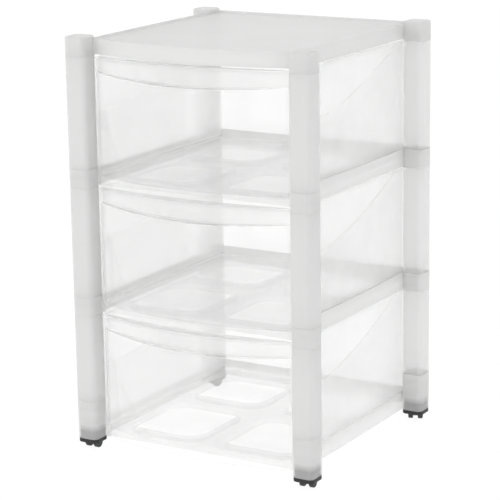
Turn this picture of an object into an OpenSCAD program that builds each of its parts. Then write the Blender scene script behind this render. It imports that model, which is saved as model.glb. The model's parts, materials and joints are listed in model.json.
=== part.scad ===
// Plastic drawer tower: three bow-fronted drawers in a post-and-frame rack on four casters.
// The front faces -Y, +Z is up, and the wheels stand on z = 0 under the middle of the tower.

/* [Tower] */
// Width over the corner posts
frame_w = 370; // [330:5:430]
// Depth over the corner posts
frame_d = 350; // [300:5:420]
// Height from one frame to the next
tier_h = 176; // [150:1:210]
// Height of the feet above the floor
ground_gap = 15; // [13:0.5:16]

/* [Posts] */
// Outer side of the square posts
post_s = 32; // [32:1:38]
// Radius of the posts' long edges
post_r = 8; // [5:0.5:9]
// Wall of the posts and corner blocks
post_wall = 2; // [1.6:0.1:2.2]
// Length of a post's spigot inside a corner block
spigot_len = 10; // [6:0.5:11]
// Wall of a spigot
spigot_wall = 1.6; // [1.2:0.1:2.4]
// Gap between a spigot or caster socket and its hole, per side
spigot_fit = 0.15; // [0.05:0.05:0.3]
// Length of the thick band inside a post's end, from which its spigot grows
collar_len = 8; // [4:1:14]

/* [Frames] */
// Height of the corner blocks of the shelf frames
block_h = 26; // [24:1:32]
// Height of the corner blocks that hold the casters
foot_h = 54; // [50:1:66]
// Thickness of the web inside a corner block
web_t = 2; // [1.5:0.5:3]
// Free length past a spigot's tip
spigot_spare = 1; // [0.5:0.5:2]
// Rounding of the feet's lower edges
foot_r = 1.5; // [0.5:0.25:1.5]
// Height of a rail's lower edge above the block's lower face
rail_lift = 2; // [1:0.5:4]
// Height of the side and back rails
rail_h = 24; // [20:1:28]
// Wall of the rails
rail_wall = 2.2; // [1.6:0.1:3]
// Distance of a side rail's ends outward of the posts' inner faces
rail_gap = 0.8; // [0.5:0.1:4]
// How far a side rail bows out at its middle
rail_bow = 1.5; // [1:0.5:6]
// Set-back of the back rail from the posts' outer face
back_inset = 6; // [4:0.5:10]
// Height of the shelf's top face above the block's lower face
shelf_lift = 13; // [12:0.5:16]
// Thickness of the shelf
shelf_t = 3; // [2:0.5:4]
// Width of the shelf's front bar, behind the drawer front
front_bar_w = 20; // [14:1:30]
// Width of the shelf's side bars, inward of the posts' inner faces
side_bar_w = 21.6; // [14:0.2:30]
// Width of the shelf's back bar, inward of the back rail
back_bar_w = 26; // [16:1:34]
// Width of the two bars that cross in the shelf
cross_w = 34; // [24:1:44]
// How far the cross bar stands behind the middle of the windows
cross_shift = 10; // [0:1:20]
// Corner radius of the shelf's windows
window_r = 26; // [12:1:32]
// Depth of the stiffening ribs round the windows, under the shelf
rib_h = 6; // [3:0.5:7]
// Thickness of the stiffening ribs
rib_t = 2; // [1.5:0.5:3]

/* [Top] */
// Height of the corner caps
cap_h = 27; // [24:1:34]
// Rounding of the caps' upper edges
cap_r = 3; // [1:0.5:4]
// Wall on top of a cap
cap_top = 3.2; // [2.5:0.1:4]
// How far the rim stands below the caps
rim_drop = 3.5; // [2:0.5:6]
// Height of the rim
rim_h = 21; // [17:0.5:22]
// Depth of the tray inside the rim
tray_depth = 4; // [2:0.5:6]
// Thickness of the tray's plate
tray_t = 2.5; // [2:0.1:4]
// Set-back of the front rim behind the drawers' bow
apron_back = 1.5; // [1:0.5:4]

/* [Drawers] */
// Gap between a drawer's side and the post beside it
drawer_side_gap = 3; // [2.5:0.5:5]
// Gap between a drawer's floor and the shelf under it
drawer_lift = 0.3; // [0.3:0.1:0.6]
// Gap between a drawer's top and the foot of the next tier
drawer_top_gap = 1; // [0:0.5:4]
// Gap behind a drawer, to the back rail
drawer_back_gap = 3; // [2:0.5:8]
// Gap between a drawer's front plate and the frame's front bar
drawer_front_gap = 1; // [0.5:0.5:3]
// Wall of a drawer's sides and back
drawer_wall = 2; // [1.6:0.1:3]
// Wall of a drawer's front
drawer_front_t = 2.2; // [1.6:0.1:3]
// Thickness of a drawer's floor
drawer_floor_t = 2; // [1.6:0.1:3]
// Rounding of a drawer's lower edges
drawer_edge_r = 10; // [6:0.5:14]
// Rounding of a drawer's upright back edges
drawer_corner_r = 9; // [6:0.5:14]
// How far a drawer's front bows out at its middle
bow = 24; // [14:1:26]
// How far the middle of the front stands proud of the posts
front_proud = 3; // [0:0.5:8]
// Gap under a drawer's front plate
front_gap = 2; // [1:0.5:4]
// Width of the rim along a drawer's sides and back
drawer_rim_w = 1.8; // [1:0.1:2]
// Thickness of that rim
drawer_rim_t = 2.4; // [1.6:0.1:4]

/* [Finger pull] */
// Height of the finger recess at its middle
pull_h = 24; // [18:1:30]
// Height of the finger recess at its ends
pull_end_h = 16; // [12:1:17]
// Depth of the finger recess at its middle
pull_depth = 15; // [10:1:18]
// Depth of the finger recess at its ends
pull_end_depth = 4; // [3:0.5:6]
// Thickness of the lip over the recess
lip_t = 2.6; // [2:0.1:4]

/* [Side relief] */
// Height at which the sweep starts, above the block's lower face
sweep_z = 105; // [80:1:120]
// Distance of the recess's front edge behind the posts' front face
sweep_start = 34; // [30:1:50]
// Distance of the sweep's bend behind the posts' front face
sweep_bend = 80; // [60:1:120]
// Distance at which the sweep meets the drawer's rim, behind the posts' front face
sweep_end = 308; // [240:1:316]
// Steepness of the sweep
sweep_power = 1.6; // [1.3:0.1:2.2]
// Step of the sweep in the side wall
sweep_step = 0.7; // [0.3:0.1:0.9]

/* [Casters] */
// Radius of the wheels
wheel_r = 7.5; // [6.5:0.25:7.5]
// Width of one wheel
wheel_w = 6.4; // [5:0.2:6.4]
// Chamfer of a wheel's edges
wheel_edge = 0.8; // [0.4:0.1:1.2]
// Half of the gap between the two wheels
wheel_in = 3.6; // [3:0.1:3.6]
// Distance from the swivel axis back to the axle
trail = 1.5; // [1:0.25:1.5]
// Radius of the steel axle
axle_r = 1.25; // [1:0.05:1.5]
// Wall of a wheel beyond the axle's end
hub_wall = 0.8; // [0.6:0.1:1.5]
// Radius of the steel stem
stem_r = 3; // [2.5:0.1:3.5]
// Length of the stem inside its socket
stem_len = 14; // [10:1:20]
// Thickness of the socket's plug over the stem's end
plug_end = 2.4; // [1.6:0.2:4]
// Running gap round the stem and the axle
run_fit = 0.05; // [0.02:0.01:0.1]
// Gap between the moving pieces of a caster
caster_gap = 0.35; // [0.3:0.05:0.4]
// Thickness of the socket's flange under the foot
flange_t = 5; // [4:0.5:6.5]
// Set-in of the flange from the foot's faces
flange_inset = 0.5; // [0:0.25:0.75]
// Thickness of the caster's hood
hood_t = 2.6; // [2:0.1:3]
// Height of the hood's boss, which grips the stem
boss_h = 4; // [3:0.5:6]
// Wall of the boss, and of the fork round the axle
boss_wall = 2.3; // [1.8:0.1:2.6]
// Turn of the front left caster
turn_front_left = 0; // [0:5:355]
// Turn of the front right caster
turn_front_right = 5; // [0:5:355]
// Turn of the back left caster
turn_back_left = 330; // [0:5:355]
// Turn of the back right caster
turn_back_right = 20; // [0:5:355]

/* [Hidden] */
past = 1;
big_fn = 720;
round_fn = 96;
small_fn = 48;
sweep_steps = 24;

y_post = -(frame_d + front_proud) / 2 + front_proud;
y_back = y_post + frame_d;
y_mid = (y_post + y_back) / 2;
block_in = post_s - 2 * post_wall;
block_in_r = post_r - post_wall;
spigot_s = block_in - 2 * spigot_fit;
spigot_r = block_in_r - spigot_fit;
grip = post_wall / 2;
corner_x = frame_w / 2 - post_s / 2;
corner_y = frame_d / 2 - post_s / 2;
bay_half = frame_w / 2 - post_s;
bay_y0 = y_post + post_s;
bay_y1 = y_back - post_s;
top_z = ground_gap + 3 * tier_h;

rail_half = frame_d / 2 - post_s;
rail_radius = (pow(rail_half, 2) + pow(rail_bow, 2)) / (2 * rail_bow);
rail_mid_x = bay_half + rail_gap + rail_wall + rail_bow;
back_rail_y = y_back - back_inset - rail_wall;
rim_z = top_z + cap_h - rim_drop - rim_h;
rim_top = rim_z + rim_h;

drawer_half = bay_half - drawer_side_gap;
front_mid_y = y_post - front_proud;
front_end_y = front_mid_y + bow;
front_radius = (pow(drawer_half, 2) + pow(bow, 2)) / (2 * bow);
front_centre_y = front_mid_y + front_radius;
drawer_back_y = back_rail_y - drawer_back_gap;
drawer_h = tier_h - shelf_lift - drawer_lift - drawer_top_gap;
sweep_top = tier_h - drawer_top_gap - drawer_rim_t;

bar_y = front_end_y + drawer_front_t + drawer_front_gap;
window_x0 = cross_w / 2;
window_x1 = bay_half - side_bar_w;
window_y0 = bar_y + front_bar_w;
window_y1 = back_rail_y - back_bar_w;
cross_y = (window_y0 + window_y1) / 2 + cross_shift;
window_rows = [[window_y0, cross_y - cross_w / 2], [cross_y + cross_w / 2, window_y1]];

pull_bow = bow - pull_depth + pull_end_depth;
pull_half = drawer_half - 2 * drawer_wall;
pull_radius = (pow(drawer_half, 2) + pow(pull_bow, 2)) / (2 * pull_bow);
pull_centre_y = front_mid_y + pull_depth + pull_radius;
pull_rise = pull_h - pull_end_h;
smile_radius = (pow(pull_half, 2) + pow(pull_rise, 2)) / (2 * pull_rise);

wheel_out = wheel_in + wheel_w;
chord = sqrt(max(0, pow(wheel_r, 2) - pow(ground_gap - caster_gap - wheel_r, 2)));
cup_r = norm([trail + chord, wheel_out]) + caster_gap;
flange_hole_r = norm([trail + wheel_r, wheel_out]) + caster_gap;
flange_s = post_s - 2 * flange_inset;
hood_r = cup_r - caster_gap;
hood_z = 2 * wheel_r + 2 * caster_gap;
hood_top = hood_z + hood_t;
boss_r = stem_r + boss_wall;
boss_top = hood_top + boss_h;
fork_r = axle_r + boss_wall;
fork_half = wheel_in - caster_gap;
axle_half = wheel_out - hub_wall - caster_gap;
stem_top = boss_top + stem_len;
plug_top = stem_top + caster_gap + plug_end;
foot_web_z = foot_h - spigot_len - spigot_spare - web_t;
block_web_z = (block_h - web_t) / 2;

frost = [0.88, 0.89, 0.87, 0.8];
clear = [0.94, 0.96, 0.95, 0.45];
black = [0.1, 0.1, 0.1];
steel = [0.6, 0.6, 0.62];

// Height of a tier's foot, with tier 0 at the bottom and 3 at the top panel.
function level_z(level) = ground_gap + level * tier_h;

// Moves a piece to the corner given by two signs, such as -1, -1 for the front left.
module at_corner(sx, sy) {
    translate([sx * corner_x, y_mid + sy * corner_y, 0]) children();
}

// A rectangle with round corners, centred on the origin.
module soft_rect(w, d, radius) {
    square([w - 2 * radius, d], center = true);
    square([w, d - 2 * radius], center = true);
    for (x = [-1, 1])
        for (y = [-1, 1])
            translate([x * (w / 2 - radius), y * (d / 2 - radius)]) circle(r = radius, $fn = small_fn);
}

module soft_bar(side, radius, height) {
    linear_extrude(height) soft_rect(side, side, radius);
}

// The quarter circle between the X and Y directions.
module quarter(radius) {
    intersection() {
        circle(r = radius, $fn = small_fn);
        square(radius);
    }
}

// Half of the rounded end over one long edge of a soft bar.
module cap_profile(radius, edge) {
    translate([radius - edge, 0]) quarter(edge);
    square([radius - edge, edge]);
}

// A square bar with round long edges whose upper end is rounded too.
module soft_cap(side, radius, height, edge) {
    soft_bar(side, radius, height - edge);
    soft_bar(side - 2 * edge, radius - edge, height);
    flat = side - 2 * radius;
    for (turn = [0:90:270]) rotate([0, 0, turn]) {
        translate([flat / 2, flat / 2, height - edge])
            rotate_extrude($fn = small_fn) cap_profile(radius, edge);
        translate([side / 2 - edge, flat / 2, height - edge])
            rotate([90, 0, 0]) linear_extrude(flat) quarter(edge);
    }
}

// The plan between the two bowed sides, drawn in by inset and cut off in front and behind.
module side_plan(inset, y0, y1) {
    intersection() {
        translate([rail_mid_x - rail_radius, y_mid]) circle(r = rail_radius - inset, $fn = big_fn);
        translate([rail_radius - rail_mid_x, y_mid]) circle(r = rail_radius - inset, $fn = big_fn);
        translate([-frame_w / 2, y0]) square([frame_w, y1 - y0]);
    }
}

// Both side rails, whose ends run into the rounded edges of the corner blocks.
module side_rails(z, height) {
    translate([0, 0, z]) linear_extrude(height) difference() {
        side_plan(0, bay_y0 - post_r, bay_y1 + post_r);
        side_plan(rail_wall, bay_y0 - post_r - past, bay_y1 + post_r + past);
    }
}

module back_rail(z, height) {
    translate([-bay_half - grip, back_rail_y, z]) cube([2 * (bay_half + grip), rail_wall, height]);
}

// ---- Posts ----

// One hollow post with a spigot at each end, between the two heights.
module post(sx, sy, z0, z1) {
    color(frost) at_corner(sx, sy) difference() {
        union() {
            translate([0, 0, z0]) soft_bar(post_s, post_r, z1 - z0);
            translate([0, 0, z0 - spigot_len]) soft_bar(spigot_s, spigot_r, z1 - z0 + 2 * spigot_len);
        }
        translate([0, 0, z0 - spigot_len - past])
            soft_bar(spigot_s - 2 * spigot_wall, spigot_r - spigot_wall, z1 - z0 + 2 * (spigot_len + past));
        translate([0, 0, z0 + collar_len]) soft_bar(block_in, block_in_r, z1 - z0 - 2 * collar_len);
    }
}

// The post of one tier, from the block on its level to the block or cap above it.
module tier_post(sx, sy, level) {
    post(sx, sy, level_z(level) + (level == 0 ? foot_h : block_h), level_z(level + 1));
}

// ---- Frames ----

module at_corners() {
    for (sx = [-1, 1])
        for (sy = [-1, 1])
            at_corner(sx, sy) children();
}

module window_plan(grow) {
    for (side = [-1, 1])
        for (row = window_rows)
            translate([side * (window_x0 + window_x1) / 2, (row[0] + row[1]) / 2])
                soft_rect(window_x1 - window_x0 + 2 * grow, row[1] - row[0] + 2 * grow, window_r + grow);
}

module shelf_plan() {
    side_plan(rail_wall / 2, bay_y0 - grip, bay_y1 + grip);
    translate([-bay_half - grip, bar_y])
        square([2 * (bay_half + grip), back_rail_y + rail_wall / 2 - bar_y]);
}

// A ring of rails round a shelf with four windows, with a hollow block at each corner.
module shelf_frame(z, corner_h, web_z) {
    shelf_z = z + shelf_lift;
    color(frost) difference() {
        union() {
            side_rails(z + rail_lift, rail_h);
            back_rail(z + rail_lift, rail_h);
            translate([-bay_half - grip, bar_y, z + rail_lift])
                cube([2 * (bay_half + grip), rail_wall, shelf_lift - rail_lift]);
            translate([0, 0, shelf_z - shelf_t]) linear_extrude(shelf_t) difference() {
                shelf_plan();
                window_plan(0);
            }
            translate([0, 0, shelf_z - shelf_t - rib_h]) linear_extrude(rib_h + shelf_t / 2) difference() {
                window_plan(rib_t);
                window_plan(0);
            }
            translate([0, 0, z]) at_corners() children();
        }
        at_corners() {
            translate([0, 0, z - past]) soft_bar(block_in, block_in_r, web_z + past);
            translate([0, 0, z + web_z + web_t]) soft_bar(block_in, block_in_r, corner_h);
        }
    }
}

module tier_frame(level) {
    shelf_frame(level_z(level), block_h, block_web_z) soft_bar(post_s, post_r, block_h);
}

module base_frame() {
    shelf_frame(level_z(0), foot_h, foot_web_z)
        translate([0, 0, foot_h]) mirror([0, 0, 1]) soft_cap(post_s, post_r, foot_h, foot_r);
}

// ---- Top panel ----

module front_arc(inset) {
    translate([0, front_centre_y]) circle(r = front_radius - inset, $fn = big_fn);
}

module apron_plan() {
    difference() {
        intersection() {
            front_arc(apron_back);
            translate([-bay_half - grip, front_mid_y]) square([2 * (bay_half + grip), post_s + front_proud]);
        }
        front_arc(apron_back + rail_wall);
    }
}

module tray_plan() {
    side_plan(rail_wall / 2, bay_y0 - grip, bay_y1 + grip);
    intersection() {
        front_arc(apron_back + rail_wall / 2);
        translate([-bay_half - grip, front_mid_y])
            square([2 * (bay_half + grip), back_rail_y + rail_wall / 2 - front_mid_y]);
    }
}

module top_panel() {
    color(frost) difference() {
        union() {
            side_rails(rim_z, rim_h);
            back_rail(rim_z, rim_h);
            translate([0, 0, rim_z]) linear_extrude(rim_h) apron_plan();
            translate([0, 0, rim_top - tray_depth - tray_t]) linear_extrude(tray_t) tray_plan();
            translate([0, 0, top_z]) at_corners() soft_cap(post_s, post_r, cap_h, cap_r);
        }
        translate([0, 0, top_z - past]) at_corners() soft_bar(block_in, block_in_r, cap_h - cap_top + past);
    }
}

// ---- Drawers ----

// A tub drawn in from the drawer's outline, with its floor at z and its top at height.
module tub(side_in, front_in, z, height) {
    half = drawer_half - side_in;
    edge_r = drawer_edge_r - side_in;
    back_y = drawer_back_y - side_in;
    fore_y = front_mid_y - 2 * drawer_corner_r;
    rise = height - z + 2 * drawer_edge_r;
    intersection() {
        translate([0, 0, z]) linear_extrude(height - z) intersection() {
            front_arc(front_in);
            translate([0, (fore_y + back_y) / 2])
                soft_rect(2 * half, back_y - fore_y, drawer_corner_r - side_in);
        }
        translate([0, back_y, z + rise / 2]) rotate([90, 0, 0])
            linear_extrude(back_y - fore_y) soft_rect(2 * half, rise, edge_r);
        translate([-half, (fore_y - 2 * edge_r + back_y) / 2, z + rise / 2]) rotate([90, 0, 90])
            linear_extrude(2 * half) soft_rect(back_y - fore_y + 2 * edge_r, rise, edge_r);
    }
}

// The finger recess as a solid, grown by grow into the drawer and ending at height top.
module pull_space(grow, roof, top) {
    half = pull_half + min(grow, drawer_wall);
    smile_z = top - lip_t - pull_h;
    intersection() {
        translate([0, 0, smile_z - grow - past]) linear_extrude(roof - smile_z + grow + past) difference() {
            translate([-half, front_mid_y - past]) square([2 * half, pull_depth + pull_bow + drawer_edge_r]);
            translate([0, pull_centre_y]) circle(r = pull_radius - grow, $fn = big_fn);
        }
        translate([0, front_mid_y + bow + pull_depth + past, smile_z + smile_radius]) rotate([90, 0, 0])
            cylinder(r = smile_radius + grow, h = bow + pull_depth + 3 * past, $fn = big_fn);
    }
}

// Distance of the sweep's outline behind the posts' front face, at step i of sweep_steps.
function sweep_y(i) = sweep_bend + (sweep_end - sweep_bend) * i / sweep_steps;

// Height of the sweep's outline over its start, at the same step.
function sweep_rise(i) = (sweep_top - sweep_z) * pow(i / sweep_steps, sweep_power);

// The shallow recess in both side walls, over the line that sweeps up to the back.
module side_relief(z) {
    outline = concat([[sweep_start, sweep_top], [sweep_start, sweep_z]],
        [for (i = [0:sweep_steps]) [sweep_y(i), sweep_z + sweep_rise(i)]]);
    for (side = [-1, 1])
        translate([side * drawer_half - sweep_step, y_post, z])
            rotate([90, 0, 90]) linear_extrude(2 * sweep_step) polygon(outline);
}

module drawer(level) {
    z = level_z(level);
    floor_z = z + shelf_lift + drawer_lift;
    top = floor_z + drawer_h;
    color(clear) difference() {
        union() {
            tub(0, 0, floor_z, top);
            translate([0, 0, z + front_gap]) linear_extrude(top - z - front_gap) front_plate_plan();
            translate([0, 0, top - drawer_rim_t]) linear_extrude(drawer_rim_t) rim_plan();
        }
        difference() {
            tub(drawer_wall, drawer_front_t, floor_z + drawer_floor_t, top + past);
            pull_space(drawer_front_t, top + 2 * past, top);
        }
        pull_space(0, top - lip_t, top);
        side_relief(z);
    }
}

module front_plate_plan() {
    difference() {
        intersection() {
            front_arc(0);
            translate([-drawer_half, front_mid_y]) square([2 * drawer_half, bow + drawer_front_t]);
        }
        front_arc(drawer_front_t);
    }
}

// The rim round the drawer's sides and back, seen from above.
module rim_plan() {
    half = drawer_half + drawer_rim_w;
    y1 = drawer_back_y + drawer_rim_w;
    translate([0, (front_end_y + drawer_front_t + y1) / 2])
        soft_rect(2 * half, y1 - front_end_y - drawer_front_t, drawer_rim_w);
}

// ---- Casters ----

function turn(sx, sy) = sy < 0
    ? (sx < 0 ? turn_front_left : turn_front_right)
    : (sx < 0 ? turn_back_left : turn_back_right);

module at_caster(sx, sy) {
    at_corner(sx, sy) rotate([0, 0, turn(sx, sy)]) children();
}

// A rod along the axle's line, from x0 to x1.
module axle_rod(radius, x0, x1) {
    translate([x0, trail, wheel_r]) rotate([0, 90, 0]) cylinder(r = radius, h = x1 - x0, $fn = small_fn);
}

module caster_socket(sx, sy) {
    flange_z = ground_gap - flange_t;
    color(black) at_corner(sx, sy) difference() {
        union() {
            translate([0, 0, flange_z]) soft_bar(flange_s, post_r - flange_inset, flange_t);
            translate([0, 0, flange_z]) soft_bar(spigot_s, spigot_r, plug_top - flange_z);
        }
        translate([0, 0, flange_z - past]) cylinder(r = flange_hole_r, h = flange_t + past, $fn = round_fn);
        cylinder(r = cup_r, h = hood_top + caster_gap, $fn = round_fn);
        cylinder(r = boss_r + caster_gap, h = boss_top + caster_gap, $fn = small_fn);
        cylinder(r = stem_r + run_fit, h = stem_top + caster_gap, $fn = small_fn);
    }
}

module caster_stem(sx, sy) {
    color(steel) at_caster(sx, sy)
        translate([0, 0, hood_z]) cylinder(r = stem_r, h = stem_top - hood_z, $fn = small_fn);
}

module caster_hood(sx, sy) {
    color(black) at_caster(sx, sy) difference() {
        union() {
            translate([0, 0, hood_z]) cylinder(r = hood_r, h = hood_t, $fn = round_fn);
            cylinder_z(boss_r, hood_z, boss_top);
            translate([-fork_half, trail - fork_r, wheel_r])
                cube([2 * fork_half, 2 * fork_r, hood_z + hood_t / 2 - wheel_r]);
            axle_rod(fork_r, -fork_half, fork_half);
        }
        cylinder_z(stem_r, hood_z, boss_top + past);
        axle_rod(axle_r, -fork_half - past, fork_half + past);
    }
}

module cylinder_z(radius, z0, z1) {
    translate([0, 0, z0]) cylinder(r = radius, h = z1 - z0, $fn = small_fn);
}

module caster_axle(sx, sy) {
    color(steel) at_caster(sx, sy) axle_rod(axle_r, -axle_half, axle_half);
}

// One wheel on the side given by a sign along the axle, with a blind bore.
module caster_wheel(sx, sy, side) {
    profile = [[0, wheel_in], [wheel_r - wheel_edge, wheel_in], [wheel_r, wheel_in + wheel_edge],
        [wheel_r, wheel_out - wheel_edge], [wheel_r - wheel_edge, wheel_out], [0, wheel_out]];
    color(black) at_caster(sx, sy) difference() {
        translate([0, trail, wheel_r]) rotate([0, side * 90, 0])
            rotate_extrude($fn = round_fn) polygon(profile);
        axle_rod(axle_r + run_fit,
            side > 0 ? 0 : -axle_half - caster_gap, side > 0 ? axle_half + caster_gap : 0);
    }
}

// ---- Nodes ----

top_panel();
tier_frame(2);  // upper_shelf_frame
tier_frame(1);  // lower_shelf_frame
base_frame();
tier_post(-1, -1, 2);  // post_front_left_top
tier_post(-1, -1, 1);  // post_front_left_middle
tier_post(-1, -1, 0);  // post_front_left_bottom
tier_post(1, -1, 2);  // post_front_right_top
tier_post(1, -1, 1);  // post_front_right_middle
tier_post(1, -1, 0);  // post_front_right_bottom
tier_post(-1, 1, 2);  // post_back_left_top
tier_post(-1, 1, 1);  // post_back_left_middle
tier_post(-1, 1, 0);  // post_back_left_bottom
tier_post(1, 1, 2);  // post_back_right_top
tier_post(1, 1, 1);  // post_back_right_middle
tier_post(1, 1, 0);  // post_back_right_bottom
drawer(2);  // drawer_top
drawer(1);  // drawer_middle
drawer(0);  // drawer_bottom
caster_socket(-1, -1);  // caster_socket_front_left
caster_stem(-1, -1);  // caster_stem_front_left
caster_hood(-1, -1);  // caster_hood_front_left
caster_axle(-1, -1);  // caster_axle_front_left
caster_wheel(-1, -1, -1);  // caster_wheel_a_front_left
caster_wheel(-1, -1, 1);  // caster_wheel_b_front_left
caster_socket(1, -1);  // caster_socket_front_right
caster_stem(1, -1);  // caster_stem_front_right
caster_hood(1, -1);  // caster_hood_front_right
caster_axle(1, -1);  // caster_axle_front_right
caster_wheel(1, -1, -1);  // caster_wheel_a_front_right
caster_wheel(1, -1, 1);  // caster_wheel_b_front_right
caster_socket(-1, 1);  // caster_socket_back_left
caster_stem(-1, 1);  // caster_stem_back_left
caster_hood(-1, 1);  // caster_hood_back_left
caster_axle(-1, 1);  // caster_axle_back_left
caster_wheel(-1, 1, -1);  // caster_wheel_a_back_left
caster_wheel(-1, 1, 1);  // caster_wheel_b_back_left
caster_socket(1, 1);  // caster_socket_back_right
caster_stem(1, 1);  // caster_stem_back_right
caster_hood(1, 1);  // caster_hood_back_right
caster_axle(1, 1);  // caster_axle_back_right
caster_wheel(1, 1, -1);  // caster_wheel_a_back_right
caster_wheel(1, 1, 1);  // caster_wheel_b_back_right
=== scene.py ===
import json
import math
import bmesh
import bpy
from mathutils import Matrix, Vector


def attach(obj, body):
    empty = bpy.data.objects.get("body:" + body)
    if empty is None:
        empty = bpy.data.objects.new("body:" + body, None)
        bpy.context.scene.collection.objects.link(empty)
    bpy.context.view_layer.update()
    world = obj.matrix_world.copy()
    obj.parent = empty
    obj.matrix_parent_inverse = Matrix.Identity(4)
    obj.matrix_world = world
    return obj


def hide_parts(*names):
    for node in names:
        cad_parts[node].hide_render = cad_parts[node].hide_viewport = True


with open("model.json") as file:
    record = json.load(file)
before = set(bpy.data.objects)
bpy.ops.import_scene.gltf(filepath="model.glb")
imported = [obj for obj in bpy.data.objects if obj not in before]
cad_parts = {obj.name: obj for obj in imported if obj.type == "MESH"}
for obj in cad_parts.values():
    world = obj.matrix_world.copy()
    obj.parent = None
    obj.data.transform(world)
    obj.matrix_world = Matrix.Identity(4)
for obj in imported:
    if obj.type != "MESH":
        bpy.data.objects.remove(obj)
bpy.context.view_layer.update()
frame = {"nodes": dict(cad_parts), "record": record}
nodes = frame["nodes"]
print("frame loaded:", len(nodes), "nodes")

# Sizes and places in metres, as in the part's source.
tower = {
    "groundGap": 0.015,
    "tierHeight": 0.176,
    "bayHalf": 0.153,
    "drawerHalf": 0.150,
    "barFront": -0.1493,
    "backRail": 0.1683,
    "drawerFloor": 0.0155,
    "drawerTop": 0.175,
    "frontRadius": 0.48075,
    "frontCentre": 0.30425,
    "cornerX": 0.169,
    "cornerY": 0.159,
    "middleY": 0.0015,
    "trail": 0.0015,
    "wheelRadius": 0.0075,
    "wheelInner": 0.0036,
    "wheelOuter": 0.0100,
}
# Each caster's corner, and how far the caster is turned about its stem, in degrees.
corners = {
    "front_left": {"sides": (-1, -1), "turn": 0.0},
    "front_right": {"sides": (1, -1), "turn": 5.0},
    "back_left": {"sides": (-1, 1), "turn": 330.0},
    "back_right": {"sides": (1, 1), "turn": 20.0},
}


def newMaterial(name):
    material = bpy.data.materials.new(name)
    material.use_nodes = True
    tree = material.node_tree
    shader = next(n for n in tree.nodes if n.type == "BSDF_PRINCIPLED")
    return material, tree, shader


def addNode(tree, kind, **settings):
    node = tree.nodes.new(kind)
    for key, value in settings.items():
        setattr(node, key, value)
    return node


# Feeds a node's input with a number or with another node's output.
def feed(tree, value, socket):
    if isinstance(value, (int, float)):
        socket.default_value = value
    else:
        tree.links.new(value, socket)


def mathNode(tree, operation, *values, clamp=False):
    node = addNode(tree, "ShaderNodeMath", operation=operation, use_clamp=clamp)
    for value, socket in zip(values, node.inputs):
        feed(tree, value, socket)
    return node.outputs[0]


def mapRange(tree, value, low, high, toLow, toHigh):
    node = addNode(tree, "ShaderNodeMapRange")
    feed(tree, value, node.inputs["Value"])
    for key, number in zip(("From Min", "From Max", "To Min", "To Max"), (low, high, toLow, toHigh)):
        feed(tree, number, node.inputs[key])
    return node.outputs["Result"]


def noiseTexture(tree, coords, scale, detail, stretch=None):
    noise = addNode(tree, "ShaderNodeTexNoise")
    noise.inputs["Scale"].default_value = scale
    noise.inputs["Detail"].default_value = detail
    source = coords.outputs["Object"]
    if stretch:
        mapping = addNode(tree, "ShaderNodeMapping")
        mapping.inputs["Scale"].default_value = stretch
        tree.links.new(source, mapping.inputs["Vector"])
        source = mapping.outputs["Vector"]
    tree.links.new(source, noise.inputs["Vector"])
    return noise.outputs["Fac"]


def mixedColour(tree, factor, first, second):
    mix = addNode(tree, "ShaderNodeMix", data_type="RGBA")
    tree.links.new(factor, mix.inputs["Factor"])
    mix.inputs[6].default_value = (*first, 1)  # A and B of its colour sockets
    mix.inputs[7].default_value = (*second, 1)
    return mix.outputs[2]


# The clouds' middle part, from cloudLow to cloudHigh, spreads the gloss and the haze by these shares.
texturing = {
    "cloudDetail": 3.0,
    "grainDetail": 2.0,
    "cloudLow": 0.3,
    "cloudHigh": 0.7,
    "glossSpread": 0.15,
    "hazeSpread": 0.1,
    "plasticIor": 1.45,
}


def spreadByCloud(tree, cloud, middle, spread):
    low, high = texturing["cloudLow"], texturing["cloudHigh"]
    return mapRange(tree, cloud, low, high, middle * (1 - spread), middle * (1 + spread))


# Moulded plastic: cloudy colour and gloss, and a fine grain. Where opacity is given, it makes the
# alpha, and a finish with a frostTransmission is also rougher and milkier where it is more opaque.
def mouldedPlastic(name, finish, opacity=None):
    material, tree, shader = newMaterial(name)
    coords = addNode(tree, "ShaderNodeTexCoord")
    cloud = noiseTexture(tree, coords, finish["cloudScale"], texturing["cloudDetail"], finish.get("flow"))
    grain = noiseTexture(tree, coords, finish["grainScale"], texturing["grainDetail"])
    dark = tuple(c * (1 - finish["cloudDepth"]) for c in finish["colour"])
    tree.links.new(mixedColour(tree, cloud, dark, finish["colour"]), shader.inputs["Base Color"])
    gloss = spreadByCloud(tree, cloud, finish["roughness"], texturing["glossSpread"])
    feed(tree, gloss, shader.inputs["Roughness"])
    bump = addNode(tree, "ShaderNodeBump")
    bump.inputs["Strength"].default_value = 1.0
    bump.inputs["Distance"].default_value = finish["grainBump"]
    tree.links.new(grain, bump.inputs["Height"])
    tree.links.new(bump.outputs["Normal"], shader.inputs["Normal"])
    shader.inputs["Transmission Weight"].default_value = finish.get("transmission", 0.0)
    shader.inputs["IOR"].default_value = finish.get("ior", texturing["plasticIor"])
    shader.inputs["Metallic"].default_value = finish.get("metallic", 0.0)
    shader.inputs["Alpha"].default_value = finish.get("alpha", 1.0)
    if opacity:
        alpha = opacity(tree, coords, finish, cloud)
        feed(tree, alpha, shader.inputs["Alpha"])
        if "frostTransmission" in finish:
            edges = (finish["alpha"], finish["frostAlpha"])
            milky = mapRange(tree, alpha, *edges, finish["transmission"], finish["frostTransmission"])
            feed(tree, milky, shader.inputs["Transmission Weight"])
            rough = mapRange(tree, alpha, *edges, finish["roughness"], finish["frostRoughness"])
            feed(tree, rough, shader.inputs["Roughness"])
    return material


def splitCoords(tree, coords):
    split = addNode(tree, "ShaderNodeSeparateXYZ")
    tree.links.new(coords.outputs["Object"], split.inputs[0])
    return split.outputs


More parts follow.
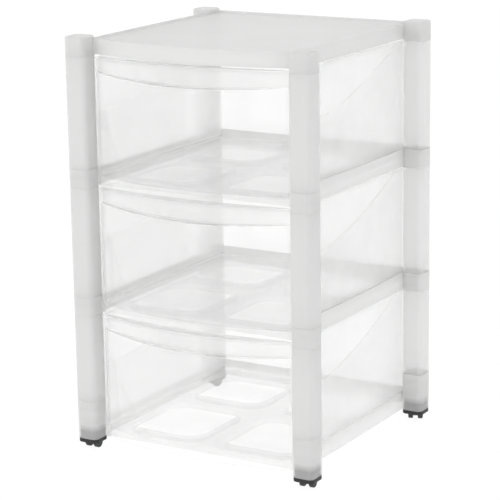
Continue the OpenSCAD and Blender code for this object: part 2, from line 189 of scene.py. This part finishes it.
# Height above the lower face of the tier's block, at any tier.
def heightInTier(tree, z):
    lifted = mathNode(tree, "SUBTRACT", z, tower["groundGap"])
    return mathNode(tree, "FLOORED_MODULO", lifted, tower["tierHeight"])


# Where all the given masks are 1.
def allOf(tree, *masks):
    result = masks[0]
    for mask in masks[1:]:
        result = mathNode(tree, "MULTIPLY", result, mask)
    return result


def between(tree, value, low, high):
    over = mathNode(tree, "GREATER_THAN", value, low)
    return mathNode(tree, "MULTIPLY", over, mathNode(tree, "LESS_THAN", value, high))


# The first value where the mask is 0, and the second where it is 1.
def masked(tree, mask, plain, marked):
    mix = addNode(tree, "ShaderNodeMix", data_type="FLOAT")
    for value, index in ((mask, 0), (plain, 2), (marked, 3)):  # its factor, and A and B for numbers
        feed(tree, value, mix.inputs[index])
    return mix.outputs[0]


postFinish = {
    "colour": (0.865, 0.867, 0.862),
    "transmission": 0.26,
    "roughness": 0.42,
    "ior": 1.3,
    "alpha": 0.80,
    "grainScale": 900.0,
    "grainBump": 0.00004,
    "cloudScale": 16.0,
    "cloudDepth": 0.03,
    "flow": (1.0, 1.0, 0.25),
}
postPlastic = mouldedPlastic("postPlastic", postFinish)
# Painted light: the back posts get a clearer copy of the post plastic, so they show lighter where the
# tower shades them.
litBackPostPlastic = mouldedPlastic("litBackPostPlastic", dict(postFinish, alpha=0.42))

frameFinish = dict(
    postFinish,
    shelfAlpha=0.27,
    # The base's shelf and rail alphas are lower, so clearer and lighter, as painted light from the floor
    # below.
    litBaseShelfAlpha=0.20,
    litBaseRailAlpha=0.42,
    footAlpha=0.37,
    footReach=0.021,
    footFade=0.010,
    baseReach=0.028,
    blockDepth=0.024,
    faceMargin=0.001,
    cloudScale=12.0,
    flow=(1.0, 0.4, 1.0),
)


# The thin shelves are clearer than the walls round them, and the black plugs show through the feet. Near
# the floor the shelf and the side rails are clearer still, as painted light from below.
def frameOpacity(tree, coords, finish, cloud):
    x, y, z = splitCoords(tree, coords)
    margin = finish["faceMargin"]
    inside = mathNode(tree, "LESS_THAN", mathNode(tree, "ABSOLUTE", x), tower["bayHalf"] - margin)
    shelf = allOf(tree, inside, between(tree, y, tower["barFront"] - margin, tower["backRail"]))
    # Painted light: near the floor the shelf and the side rails are clearer, so they show lighter.
    base = mathNode(tree, "LESS_THAN", z, tower["groundGap"] + finish["baseReach"])
    shelfLook = masked(tree, base, finish["shelfAlpha"], finish["litBaseShelfAlpha"])
    blockEdge = tower["backRail"] - finish["blockDepth"]
    rail = allOf(tree, base, between(tree, y, -blockEdge, blockEdge))
    wallLook = masked(tree, rail, finish["alpha"], finish["litBaseRailAlpha"])
    reach = tower["groundGap"] + finish["footReach"]
    plug = mapRange(tree, z, reach, reach - finish["footFade"], 0.0, 1.0)
    corner = allOf(tree, plug, mathNode(tree, "SUBTRACT", 1.0, rail))
    return masked(tree, shelf, masked(tree, corner, wallLook, finish["footAlpha"]), shelfLook)


framePlastic = mouldedPlastic("framePlastic", frameFinish, frameOpacity)
# Painted shade: the top panel gets a darker copy of the post plastic, to offset the stronger light that
# falls on its top.
shadedTopFinish = dict(postFinish, colour=(0.84, 0.842, 0.837), cloudScale=9.0)
shadedTopPlastic = mouldedPlastic("shadedTopPlastic", shadedTopFinish)

drawerFinish = {
    "colour": (0.985, 0.986, 0.984),
    "transmission": 0.60,
    "frostTransmission": 0.65,
    "frostRoughness": 0.40,
    "roughness": 0.16,
    "ior": 1.3,
    "alpha": 0.20,
    "floorAlpha": 0.30,
    "sideAlpha": 0.42,
    "frostAlpha": 0.52,
    "cornerAlpha": 0.50,
    # The recess's alpha is painted shade under the lip.
    "recessShadeAlpha": 0.50,
    # The lip's alpha is a painted highlight along the front's top.
    "lipHighlightAlpha": 0.55,
    "recessLow": 0.0295,
    "recessFrom": 0.003,
    "recessTo": 0.021,
    "lipThick": 0.0027,
    "lipProud": 0.001,
    "cornerFrom": 0.010,
    "cornerTo": 0.001,
    "floorInset": 0.0045,
    "sideReach": 0.0025,
    "sweepLow": 0.105,
    "sweepHigh": 0.1726,
    "sweepFrom": -0.0935,
    "sweepTo": 0.1345,
    "sweepPower": 1.6,
    "sweepFade": 0.001,
    "grainScale": 500.0,
    "grainBump": 0.00002,
    "cloudScale": 9.0,
    "cloudDepth": 0.02,
}


# Depth behind the bow of the drawer's front.
def depthBehindFront(tree, x, y):
    away = mathNode(tree, "SUBTRACT", y, tower["frontCentre"])
    squares = [mathNode(tree, "MULTIPLY", v, v) for v in (x, away)]
    fromCentre = mathNode(tree, "SQRT", mathNode(tree, "ADD", *squares))
    return mathNode(tree, "SUBTRACT", tower["frontRadius"], fromCentre)


# Height of the line that sweeps up to the back along a drawer's side.
def sweepHeight(tree, y, finish):
    along = mapRange(tree, y, finish["sweepFrom"], finish["sweepTo"], 0.0, 1.0)
    bend = mathNode(tree, "POWER", along, finish["sweepPower"])
    return mapRange(tree, bend, 0.0, 1.0, finish["sweepLow"], finish["sweepHigh"])


# The side walls are frosted under the sweeping line. The front's ends and floor are milkier. The recess
# under the lip is more opaque as painted shade, and the lip as a painted highlight.
def drawerOpacity(tree, coords, finish, cloud):
    x, y, z = splitCoords(tree, coords)
    height = heightInTier(tree, z)
    across = mathNode(tree, "ABSOLUTE", x)
    depth = depthBehindFront(tree, x, y)
    half, top, fade = tower["drawerHalf"], tower["drawerTop"], finish["sweepFade"]

    over = mathNode(tree, "SUBTRACT", height, sweepHeight(tree, y, finish))
    wall = mapRange(tree, over, -fade, fade, finish["frostAlpha"], finish["sideAlpha"])
    side = mathNode(tree, "GREATER_THAN", across, half - finish["sideReach"])

    end = mapRange(tree, across, half - finish["cornerFrom"], half - finish["cornerTo"], 0.0, 1.0)
    corner = allOf(tree, end, mathNode(tree, "LESS_THAN", y, tower["barFront"]))
    plain = mapRange(tree, corner, 0.0, 1.0, finish["alpha"], finish["cornerAlpha"])

    underfoot = mathNode(tree, "LESS_THAN", height, tower["drawerFloor"])
    floor = allOf(tree, underfoot, mathNode(tree, "GREATER_THAN", depth, finish["floorInset"]))
    floored = masked(tree, floor, plain, finish["floorAlpha"])

    # Painted shade: the recess under the lip is more opaque, so it shows darker.
    behind = between(tree, depth, finish["recessFrom"], finish["recessTo"])
    underLip = between(tree, height, top - finish["recessLow"], top - finish["lipThick"])
    recessed = masked(tree, allOf(tree, behind, underLip), floored, finish["recessShadeAlpha"])

    # Painted highlight: the lip along the front's top is more opaque, so it shows as a bright line.
    atFront = mathNode(tree, "LESS_THAN", depth, finish["recessTo"])
    atTop = between(tree, height, top - finish["lipThick"], top + finish["lipProud"])
    lipped = masked(tree, allOf(tree, atFront, atTop), recessed, finish["lipHighlightAlpha"])

    haze = spreadByCloud(tree, cloud, 1.0, texturing["hazeSpread"])
    return mathNode(tree, "MULTIPLY", masked(tree, side, lipped, wall), haze, clamp=True)


drawerPlastic = mouldedPlastic("drawerPlastic", drawerFinish, drawerOpacity)
# Painted light: the bottom drawer gets a clearer copy of the drawer plastic, lighter as if lit by the
# floor below.
litBottomDrawerFinish = dict(
    drawerFinish,
    alpha=0.15,
    floorAlpha=0.14,
    sideAlpha=0.34,
    frostAlpha=0.46,
    recessShadeAlpha=0.40,
)
litBottomDrawerPlastic = mouldedPlastic("litBottomDrawerPlastic", litBottomDrawerFinish, drawerOpacity)

blackFinish = {
    "colour": (0.022, 0.022, 0.024),
    "roughness": 0.42,
    "grainScale": 1800.0,
    "grainBump": 0.00003,
    "cloudScale": 90.0,
    "cloudDepth": 0.25,
}
blackPlastic = mouldedPlastic("blackPlastic", blackFinish)

wheelFinish = {
    "colour": (0.05, 0.05, 0.052),
    "roughness": 0.5,
    "grainScale": 1500.0,
    "grainBump": 0.00005,
    "cloudScale": 160.0,
    "cloudDepth": 0.4,
}
wheelPlastic = mouldedPlastic("wheelPlastic", wheelFinish)

steelFinish = {
    "colour": (0.62, 0.62, 0.64),
    "roughness": 0.28,
    "metallic": 1.0,
    "grainScale": 2500.0,
    "grainBump": 0.00001,
    "cloudScale": 200.0,
    "cloudDepth": 0.1,
}
zincSteel = mouldedPlastic("zincSteel", steelFinish)

# The first row whose start fits a node's name dresses it.
dressing = (
    ("drawer_bottom", litBottomDrawerPlastic),
    ("drawer_", drawerPlastic),
    ("post_back", litBackPostPlastic),
    ("post_", postPlastic),
    ("top_panel", shadedTopPlastic),
    ("caster_wheel", wheelPlastic),
    ("caster_stem", zincSteel),
    ("caster_axle", zincSteel),
    ("caster_", blackPlastic),
    ("", framePlastic),
)
for name, node in nodes.items():
    node.data.materials.clear()
    surface = next(material for start, material in dressing if name.startswith(start))
    node.data.materials.append(surface)
print("finishes made and nodes dressed")

# How wide the sharp edges of each moulding are rounded.
softEdges = {
    "post_": 0.0004,
    "top_panel": 0.0004,
    "base_frame": 0.0004,
    "lower_shelf": 0.0004,
    "upper_shelf": 0.0004,
    "drawer_": 0.0004,
    "caster_socket": 0.0005,
    "caster_hood": 0.0003,
}
softening = {
    "mergeDistance": 0.000002,
    "flatAngle": 0.6,
    "sharpAngle": 50.0,
    "shadeAngle": 30.0,
    "segments": 2,
}


def bodyOf(name):
    bodies = frame["record"]["behaviour"]["bodies"]
    return next(body for body, members in bodies.items() if name in members)


# Turns a finished bmesh into a piece that stands for a CAD node and rides as it does.
def standIn(mesh, name, material):
    data = bpy.data.meshes.new(name + "_piece")
    mesh.to_mesh(data)
    mesh.free()
    data.materials.append(material)
    piece = bpy.data.objects.new(name + "_piece", data)
    bpy.context.scene.collection.objects.link(piece)
    data.shade_smooth()
    data.set_sharp_from_angle(angle=math.radians(softening["shadeAngle"]))
    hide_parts(name)
    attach(piece, bodyOf(name))
    return piece


# A copy of a CAD node whose sharp edges are rounded a little, as on a moulding.
def softened(name, width):
    node = nodes[name]
    mesh = bmesh.new()
    mesh.from_mesh(node.data)
    bmesh.ops.remove_doubles(mesh, verts=mesh.verts, dist=softening["mergeDistance"])
    flat = math.radians(softening["flatAngle"])
    bmesh.ops.dissolve_limit(mesh, angle_limit=flat, verts=mesh.verts, edges=mesh.edges)
    sharp = math.radians(softening["sharpAngle"])
    edges = [edge for edge in mesh.edges if edge.calc_face_angle(0) > sharp]
    bmesh.ops.bevel(mesh, geom=edges, offset=width, offset_type="OFFSET", affect="EDGES",
        segments=softening["segments"], profile=0.5, material=-1, clamp_overlap=True)
    bmesh.ops.triangulate(mesh, faces=[face for face in mesh.faces if len(face.verts) > 4])
    return standIn(mesh, name, node.data.materials[0])


for name in sorted(nodes):
    width = next((width for start, width in softEdges.items() if name.startswith(start)), None)
    if width:
        piece = softened(name, width)
        print(name, len(piece.data.polygons), "faces")
print("edges of the mouldings rounded")

wheelShape = {
    "segments": 72,
    "treadRound": 0.0011,
    "treadSegments": 5,
    "rim": 0.0012,
    "slope": 0.0003,
    "dish": 0.0006,
    "hubRadius": 0.0026,
    "hubRise": 0.0005,
    "boreRadius": 0.0013,
    "boreDepth": 0.0056,
}


# A wheel is shaped lying on its side with its outer face up, and then stood on its axle.
def makeWheel(corner, letter):
    look = wheelShape
    radius = tower["wheelRadius"]
    width = tower["wheelOuter"] - tower["wheelInner"]
    mesh = bmesh.new()
    bmesh.ops.create_cone(mesh, cap_ends=True, segments=look["segments"],
        radius1=radius, radius2=radius, depth=width)
    outer = max(mesh.faces, key=lambda face: face.calc_center_median().z)
    inner = min(mesh.faces, key=lambda face: face.calc_center_median().z)
    shoulders = list(outer.edges) + list(inner.edges)
    web = radius - look["rim"] - 2 * look["slope"] - look["hubRadius"]
    dished = ((look["rim"], 0), (look["slope"], -look["dish"]), (web, 0), (look["slope"], look["hubRise"]))
    for thickness, depth in dished:
        bmesh.ops.inset_individual(mesh, faces=[outer],
            thickness=thickness, depth=depth, use_even_offset=True)
    rest = radius - look["boreRadius"]
    bmesh.ops.inset_individual(mesh, faces=[inner], thickness=rest, depth=0, use_even_offset=True)
    bore = bmesh.ops.extrude_discrete_faces(mesh, faces=[inner])["faces"][0]
    bmesh.ops.translate(mesh, verts=bore.verts, vec=(0, 0, look["boreDepth"]))
    bmesh.ops.bevel(mesh, geom=[edge for edge in shoulders if edge.is_valid], offset=look["treadRound"],
        offset_type="OFFSET", affect="EDGES", segments=look["treadSegments"], profile=0.5, material=-1)
    bmesh.ops.recalc_face_normals(mesh, faces=mesh.faces)
    side = -1 if letter == "a" else 1
    sideways, lengthways = corners[corner]["sides"]
    stem = (sideways * tower["cornerX"], tower["middleY"] + lengthways * tower["cornerY"], 0)
    place = Matrix.Translation(stem)
    turned = Matrix.Rotation(math.radians(corners[corner]["turn"]), 4, "Z")
    onAxle = Matrix.Translation((side * (tower["wheelInner"] + width / 2), tower["trail"], radius))
    facing = Matrix.Rotation(side * math.pi / 2, 4, "Y")
    bmesh.ops.transform(mesh, matrix=place @ turned @ onAxle @ facing, verts=mesh.verts)
    return standIn(mesh, "caster_wheel_" + letter + "_" + corner, wheelPlastic)


for corner in corners:
    for letter in "ab":
        makeWheel(corner, letter)
print("wheels made")

# floorGlow shows the floor white to the camera, and floorLift is what it adds to the light from below.
stageLook = {
    "floorSize": 12.0,
    "floorColour": (0.9, 0.9, 0.9),
    "shadowColour": (0.09, 0.09, 0.09),
    "floorGlow": 0.94,
    "floorLift": 0.30,
    "skyLevel": 0.95,
}


# Rays for which the floor and the sky are a plain white background.
def seenDirectly(tree):
    path = addNode(tree, "ShaderNodeLightPath")
    first = mathNode(tree, "MAXIMUM", path.outputs["Is Camera Ray"], path.outputs["Is Glossy Ray"])
    return mathNode(tree, "MAXIMUM", first, path.outputs["Is Transmission Ray"])


def makeWorld():
    world = bpy.data.worlds.new("studio")
    world.use_nodes = True
    tree = world.node_tree
    tree.nodes.clear()
    sky = addNode(tree, "ShaderNodeBackground")
    plain = addNode(tree, "ShaderNodeBackground")
    mix = addNode(tree, "ShaderNodeMixShader")
    output = addNode(tree, "ShaderNodeOutputWorld")
    sky.inputs["Color"].default_value = (1, 1, 1, 1)
    sky.inputs["Strength"].default_value = stageLook["skyLevel"]
    plain.inputs["Color"].default_value = (1, 1, 1, 1)
    plain.inputs["Strength"].default_value = 1.0
    tree.links.new(seenDirectly(tree), mix.inputs[0])
    tree.links.new(sky.outputs[0], mix.inputs[1])
    tree.links.new(plain.outputs[0], mix.inputs[2])
    tree.links.new(mix.outputs[0], output.inputs[0])
    bpy.context.scene.world = world


def makeFloor():
    mesh = bmesh.new()
    bmesh.ops.create_grid(mesh, x_segments=1, y_segments=1, size=stageLook["floorSize"] / 2)
    data = bpy.data.meshes.new("floor")
    mesh.to_mesh(data)
    mesh.free()
    floor = bpy.data.objects.new("floor", data)
    bpy.context.scene.collection.objects.link(floor)
    material = bpy.data.materials.new("paleFloor")
    material.use_nodes = True
    tree = material.node_tree
    tree.nodes.clear()
    paint = addNode(tree, "ShaderNodeBsdfDiffuse")
    paint.inputs["Color"].default_value = (*stageLook["floorColour"], 1)
    lift = addNode(tree, "ShaderNodeEmission")
    lift.inputs["Strength"].default_value = stageLook["floorLift"]
    lifted = addNode(tree, "ShaderNodeAddShader")
    tree.links.new(paint.outputs[0], lifted.inputs[0])
    tree.links.new(lift.outputs[0], lifted.inputs[1])
    faint = addNode(tree, "ShaderNodeBsdfDiffuse")
    faint.inputs["Color"].default_value = (*stageLook["shadowColour"], 1)
    glow = addNode(tree, "ShaderNodeEmission")
    glow.inputs["Strength"].default_value = stageLook["floorGlow"]
    both = addNode(tree, "ShaderNodeAddShader")
    mix = addNode(tree, "ShaderNodeMixShader")
    output = addNode(tree, "ShaderNodeOutputMaterial")
    tree.links.new(faint.outputs[0], both.inputs[0])
    tree.links.new(glow.outputs[0], both.inputs[1])
    tree.links.new(seenDirectly(tree), mix.inputs[0])
    tree.links.new(lifted.outputs[0], mix.inputs[1])
    tree.links.new(both.outputs[0], mix.inputs[2])
    tree.links.new(mix.outputs[0], output.inputs[0])
    data.materials.append(material)


# The photo's viewing angle, in degrees and metres. The focal length is in pixels of the photo's frame.
cameraView = {
    "azimuth": 30.74,
    "elevation": 13.73,
    "roll": -0.89,
    "distance": 2.696,
    "focalPixels": 2050.0,
    "framePixels": 500.0,
    "sensor": 36.0,
    "target": (0.0554, -0.1039, 0.2925),
    "farthest": 50.0,
}


def makeCamera():
    turn, tilt, roll = (math.radians(cameraView[k]) for k in ("azimuth", "elevation", "roll"))
    ahead = Vector((-math.sin(turn) * math.cos(tilt), math.cos(turn) * math.cos(tilt), -math.sin(tilt)))
    level = Vector((math.cos(turn), math.sin(turn), 0))
    upward = level.cross(ahead)
    right = math.cos(roll) * level + math.sin(roll) * upward
    top = -math.sin(roll) * level + math.cos(roll) * upward
    place = Vector(cameraView["target"]) - cameraView["distance"] * ahead
    data = bpy.data.cameras.new("camera")
    data.sensor_fit = "HORIZONTAL"
    data.sensor_width = cameraView["sensor"]
    data.lens = cameraView["focalPixels"] / cameraView["framePixels"] * cameraView["sensor"]
    data.clip_end = cameraView["farthest"]
    camera = bpy.data.objects.new("camera", data)
    camera.matrix_world = Matrix((
        (right.x, top.x, -ahead.x, place.x),
        (right.y, top.y, -ahead.y, place.y),
        (right.z, top.z, -ahead.z, place.z),
        (0, 0, 0, 1)))
    bpy.context.scene.collection.objects.link(camera)
    bpy.context.scene.camera = camera


lamps = {
    "overhead": {"place": (0.2, -0.6, 2.6), "size": 2.4, "watts": 5.0},
    "frontLeft": {"place": (-1.9, -2.6, 1.5), "size": 1.8, "watts": 9.0},
}
lampTarget = (0, 0, 0.28)


def makeLamps():
    for name, lamp in lamps.items():
        data = bpy.data.lights.new(name, "AREA")
        data.shape = "SQUARE"
        data.size = lamp["size"]
        data.energy = lamp["watts"]
        light = bpy.data.objects.new(name, data)
        light.location = lamp["place"]
        ahead = Vector(lampTarget) - light.location
        light.rotation_euler = ahead.to_track_quat("-Z", "Y").to_euler()
        light.visible_camera = False
        bpy.context.scene.collection.objects.link(light)


# Light passes many thin walls on its way through the tower.
bounces = {
    "max_bounces": 24,
    "transmission_bounces": 24,
    "transparent_max_bounces": 48,
    "glossy_bounces": 6,
    "diffuse_bounces": 6,
}

makeWorld()
makeFloor()
makeCamera()
makeLamps()
for setting, count in bounces.items():
    setattr(bpy.context.scene.cycles, setting, count)
bpy.context.scene.view_settings.view_transform = "Standard"
print("stage, light and camera set")
